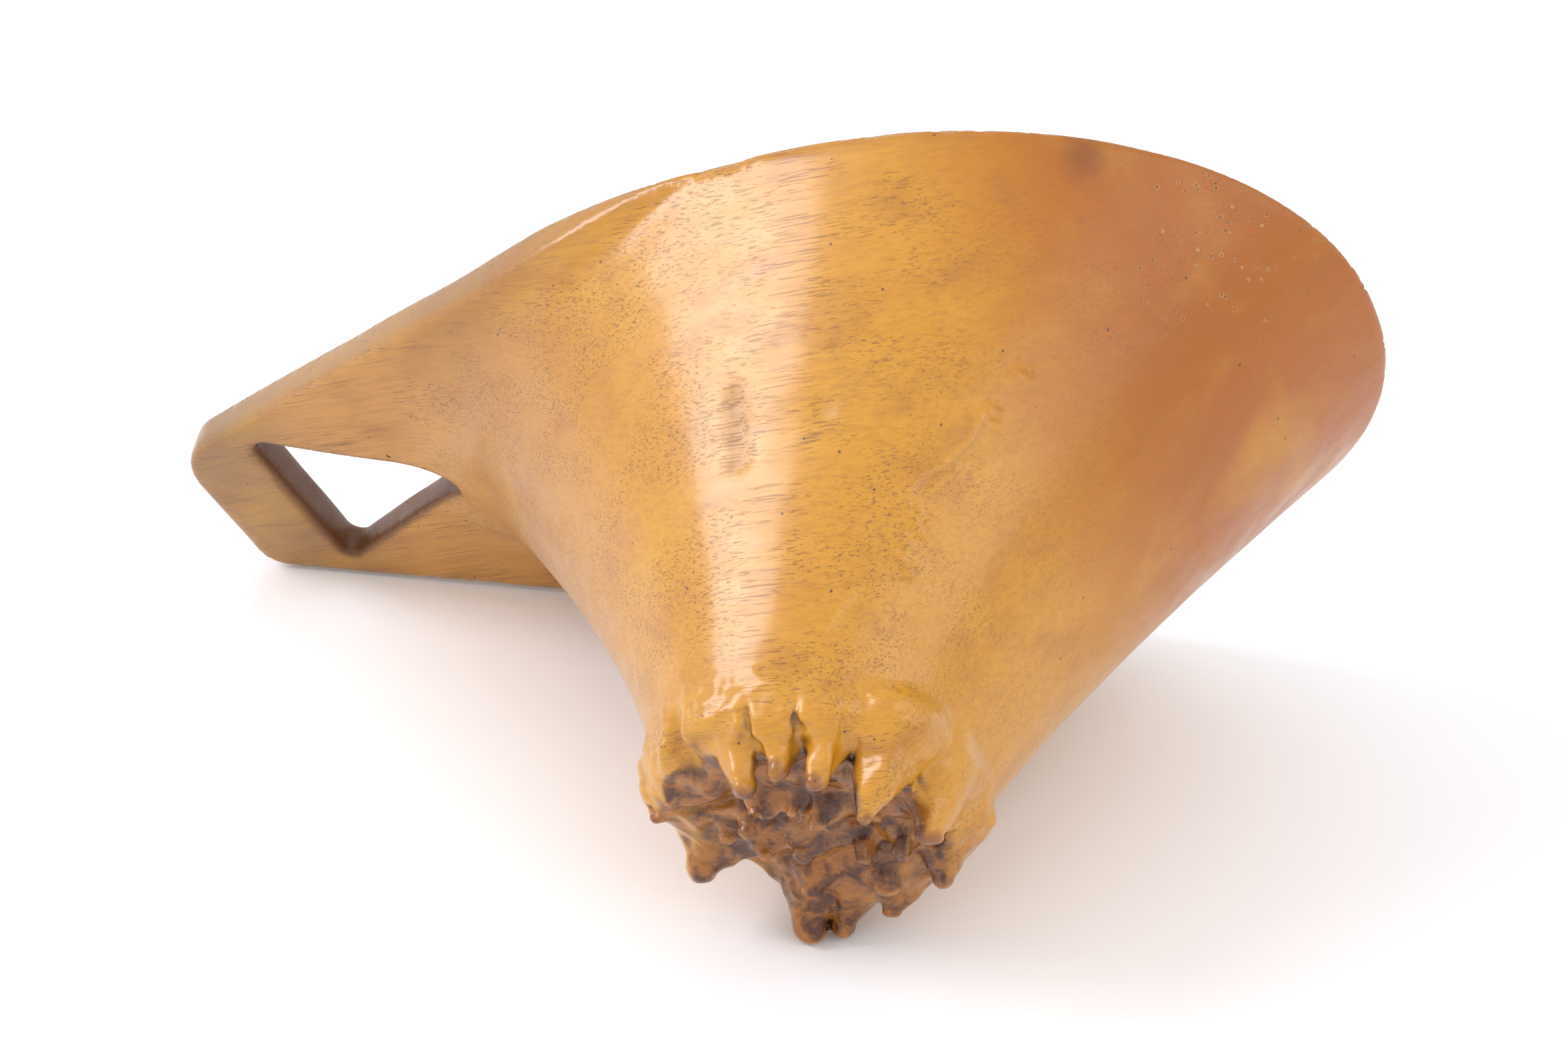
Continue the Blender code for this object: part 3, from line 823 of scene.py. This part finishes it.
def make_wood():
    """Old honey-coloured wood under worn varnish, and the dark root end."""
    material = bpy.data.materials.new("varnished_wood")
    n = Nodes(material)
    place = own_axes(n)
    axes = n.node("SeparateXYZ", {0: place}).outputs
    hollow_shade, ridge_highlight, root, tips = (n.layer(name) for name in ("hollow_shade", "ridge_highlight", "root", "tips"))
    edge, hole, runs, dents = (n.layer(name) for name in ("edge", "hole", "runs", "dents"))

    # The honey colour: deeper towards the pouring tip, tan on the handle, in soft clouds
    clouds = n.noise(place, (34, 22, 26), detail=4, roughness=0.55, distortion=0.4)
    patches = n.noise(place, (13, 6, 8), (3, 1, 7), detail=4, roughness=0.6)
    along = n.math("ADD", axes[0], n.times(axes[2], 0.22))
    along = n.math("ADD", along, n.times(n.math("SUBTRACT", clouds, 0.5), 0.05))
    to_tip = n.ramp(along, 0.006, 0.042)
    to_handle = n.ramp(axes[0], -0.015, -0.080)
    honey = n.mix(to_tip, AMBER, ORANGE)
    honey = n.mix(to_handle, honey, TAN)
    honey = n.mix(n.ramp(axes[0], -0.068, -0.086), honey, PALE_TAN)
    # Darker at the handle's end, by the grip bar: partly its own tan, partly painted shade.
    honey = n.mix(n.ramp(axes[0], -0.104, -0.124, 0, 0.9), honey, DARK_TAN_AND_SHADE)
    honey = n.mix(n.ramp(clouds, 0.45, 0.72, 0, 0.45), honey, PALE_AMBER)
    honey = n.mix(n.ramp(patches, 0.46, 0.78, 0, 0.50), honey, DARK_AMBER)

    # Grain: long thin streaks along the handle, and short dark pores
    streaks = n.noise(place, (18, 0.6, 0.8), (5, 2, 1), detail=5, roughness=0.65)
    honey = n.mix(n.ramp(streaks, 0.42, 0.72, 0, 0.40), honey, STREAK)
    pores = n.noise(place, (9.0, 0.26, 0.32), (1, 9, 4), detail=2, roughness=0.7)
    where = n.noise(place, (14, 9, 9), (8, 3, 2), detail=2)
    bare = n.times(n.ramp(axes[0], 0.034, 0.010, 0.35, 1.0), n.ramp(where, 0.34, 0.58))
    pores = n.times(n.ramp(pores, 0.55, 0.68), bare)
    honey = n.mix(n.times(pores, 0.65), honey, PORE)

    # Specks in the varnish, and a cluster of burst bubbles by the pouring tip, their raised rings painted
    # pale as glints
    specks = n.ramp(n.cells(place, 5.2, (2, 5, 3)), 0.055, 0.035)
    honey = n.mix(n.times(specks, 0.8), honey, SPECK)
    cluster = n.noise(place, (5, 5, 5), (7, 2, 9), detail=2)
    cluster = n.times(n.ramp(n.distance(place, BUBBLES_AT), 0.019, 0.011), n.ramp(cluster, 0.48, 0.60))
    bubble = n.cells(place, 1.7, (3, 3, 8))
    bubble = n.math("ADD", bubble, n.times(n.noise(place, (0.7, 0.7, 0.7), detail=1), 0.20))
    ring = n.times(n.ramp(bubble, 0.24, 0.30), n.ramp(bubble, 0.40, 0.34))
    ring = n.times(ring, cluster)
    pit = n.times(n.ramp(bubble, 0.27, 0.20), cluster)
    # Painted highlight: the bubbles' rings are tinted pale.
    honey = n.mix(n.times(ring, 0.45), honey, BUBBLE_RING_GLINT)
    honey = n.mix(n.times(pit, 0.45), honey, BUBBLE_PIT)

    # Marks: edges painted darker, a smudge on the rim, old dents, runs of varnish painted pale as glints,
    # and painted shade in the finger hole
    # The rim and the handle's edges are painted darker.
    edge_darkening = n.mix(to_handle, DARKER_RIM_EDGE, DARKER_HANDLE_EDGE)
    honey = n.mix(n.times(edge, 0.55), honey, edge_darkening)
    smudge = n.math("ADD", n.distance(place, SMUDGE_AT), n.times(patches, 0.006))
    honey = n.mix(n.ramp(smudge, 0.0085, 0.0040, 0, 0.50), honey, SMUDGE)
    honey = n.mix(n.times(dents, 0.60), honey, DENT)
    # Painted highlight: the runs of varnish are tinted pale as glints.
    honey = n.mix(n.times(runs, 0.10), honey, RUN_GLINT)
    # Painted shade: the finger hole's walls are darkened nearly to black-brown.
    honey = n.mix(n.times(hole, 0.88), honey, HOLE_SHADE)

    # The root end: mottled brown, with painted shade blackish in its crevices and painted highlights on
    # its ridges, reddish on its tips
    blotch = n.noise(place, (3.6, 3.6, 3.6), (4, 4, 4), detail=5, roughness=0.65, distortion=0.5)
    brown = n.mix(n.ramp(blotch, 0.38, 0.62), ROOT_DARK, ROOT_BROWN)
    # Painted highlight: the root's ridges and nubs are lightened.
    brown = n.mix(n.ramp(ridge_highlight, 0.20, 0.70, 0, 0.60), brown, PAINTED_RIDGE_HIGHLIGHT)
    colour = n.mix(root, honey, brown)
    # Painted shade: the hollows are darkened towards black.
    colour = n.mix(n.ramp(hollow_shade, 0.52, 1.05, 0, 0.90), colour, PAINTED_CREVICE_SHADE)
    colour = n.mix(n.times(tips, n.ramp(blotch, 0.3, 0.6, 0.25, 0.80)), colour, SPIKE_TIP)
    n.set(n.shader.inputs["Base Color"], colour)

    # Varnish: glossy, with a fine grain and an orange-peel skin
    rough = n.ramp(n.noise(place, (9, 5, 5), (6, 6, 1), detail=3), 0.3, 0.7, 0.30, 0.44)
    smooth = n.math("ADD", n.times(runs, 0.12), n.times(root, 0.10))
    n.set(n.shader.inputs["Roughness"], n.math("SUBTRACT", rough, smooth))
    n.set(n.shader.inputs["Specular IOR Level"], 0.42)
    worn = n.math("ADD", n.times(dents, 0.45), n.times(to_tip, 0.30))
    worn = n.math("ADD", worn, n.times(hole, 0.50))
    worn = n.math("ADD", worn, n.times(root, 0.20))
    n.set(n.shader.inputs["Coat Weight"], n.math("SUBTRACT", 0.50, worn, clamp=True))
    n.set(n.shader.inputs["Coat Roughness"], 0.16)
    n.set(n.shader.inputs["Coat IOR"], 1.5)
    n.set(n.shader.inputs["Subsurface Weight"], 0.12)
    n.set(n.shader.inputs["Subsurface Radius"], (1.0, 0.35, 0.1))
    n.set(n.shader.inputs["Subsurface Scale"], 0.0012)

    peel = n.noise(place, (2.2, 1.3, 1.5), (2, 2, 2), detail=3)
    height = n.math("ADD", n.times(peel, 0.35), n.times(streaks, 0.30))
    height = n.math("SUBTRACT", height, n.times(pores, 0.5))
    height = n.math("ADD", height, n.math("SUBTRACT", ring, pit))
    bump = n.node("Bump", {"Height": height, "Strength": 0.6, "Distance": 0.00025})
    n.set(n.shader.inputs["Normal"], bump.outputs[0])
    return material


# --- Camera, floor and light ------------------------------------------------------------

def make_camera():
    """The viewing angle: from in front and above, looking at the crown."""
    turn, height, distance = math.radians(9.937), math.radians(29.87), 0.504287
    aim = Vector((-0.00233, 0.08530, 0.0))
    level = math.cos(height)
    back = Vector((math.sin(turn) * level, -math.cos(turn) * level, math.sin(height)))
    data = bpy.data.cameras.new("camera")
    data.lens = 60.514
    data.sensor_width = 36
    data.clip_start = 0.01
    camera = bpy.data.objects.new("camera", data)
    camera.location = aim + back * distance
    camera.rotation_euler = (-back).to_track_quat("-Z", "Y").to_euler()
    bpy.context.scene.collection.objects.link(camera)
    bpy.context.scene.camera = camera


def make_light(name, place, aim, size, power, colour):
    """A soft rectangular light."""
    data = bpy.data.lights.new(name, "AREA")
    data.shape = "RECTANGLE"
    data.size, data.size_y = size
    data.energy = power
    data.color = colour
    light = bpy.data.objects.new(name, data)
    light.location = place
    light.rotation_euler = (Vector(aim) - Vector(place)).to_track_quat("-Z", "Y").to_euler()
    bpy.context.scene.collection.objects.link(light)


def make_studio():
    """A plain pale floor and plain soft light."""
    bpy.context.scene.view_settings.view_transform = "Standard"
    world = bpy.data.worlds.new("studio")
    world.use_nodes = True
    background = world.node_tree.nodes["Background"]
    background.inputs["Color"].default_value = (0.97, 0.98, 1.0, 1)
    background.inputs["Strength"].default_value = 0.98
    bpy.context.scene.world = world
    make_light("window", (-0.72, -0.13, 0.60), (0, 0, 0.07), (0.34, 0.5), 4.6, (1.0, 0.97, 1.0))
    make_light("fill", (0.75, -0.35, 0.75), (0, 0, 0.05), (0.9, 0.9), 3.4, (1.0, 0.97, 0.96))

    mesh = bpy.data.meshes.new("floor")
    bm = bmesh.new()
    bmesh.ops.create_grid(bm, x_segments=1, y_segments=1, size=6)
    bm.to_mesh(mesh)
    bm.free()
    floor = bpy.data.objects.new("floor", mesh)
    bpy.context.scene.collection.objects.link(floor)
    material = bpy.data.materials.new("floor")
    material.use_nodes = True
    shader = material.node_tree.nodes["Principled BSDF"]
    shader.inputs["Base Color"].default_value = (0.94, 0.94, 0.95, 1)
    shader.inputs["Roughness"].default_value = 0.55
    mesh.materials.append(material)


make_camera()
make_studio()
scoop = make_carving()
scoop.data.materials.append(make_wood())
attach(scoop, "root")
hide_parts("bowl", "root_crown", "handle_upper_arm", "handle_lower_arm", "handle_grip_bar")
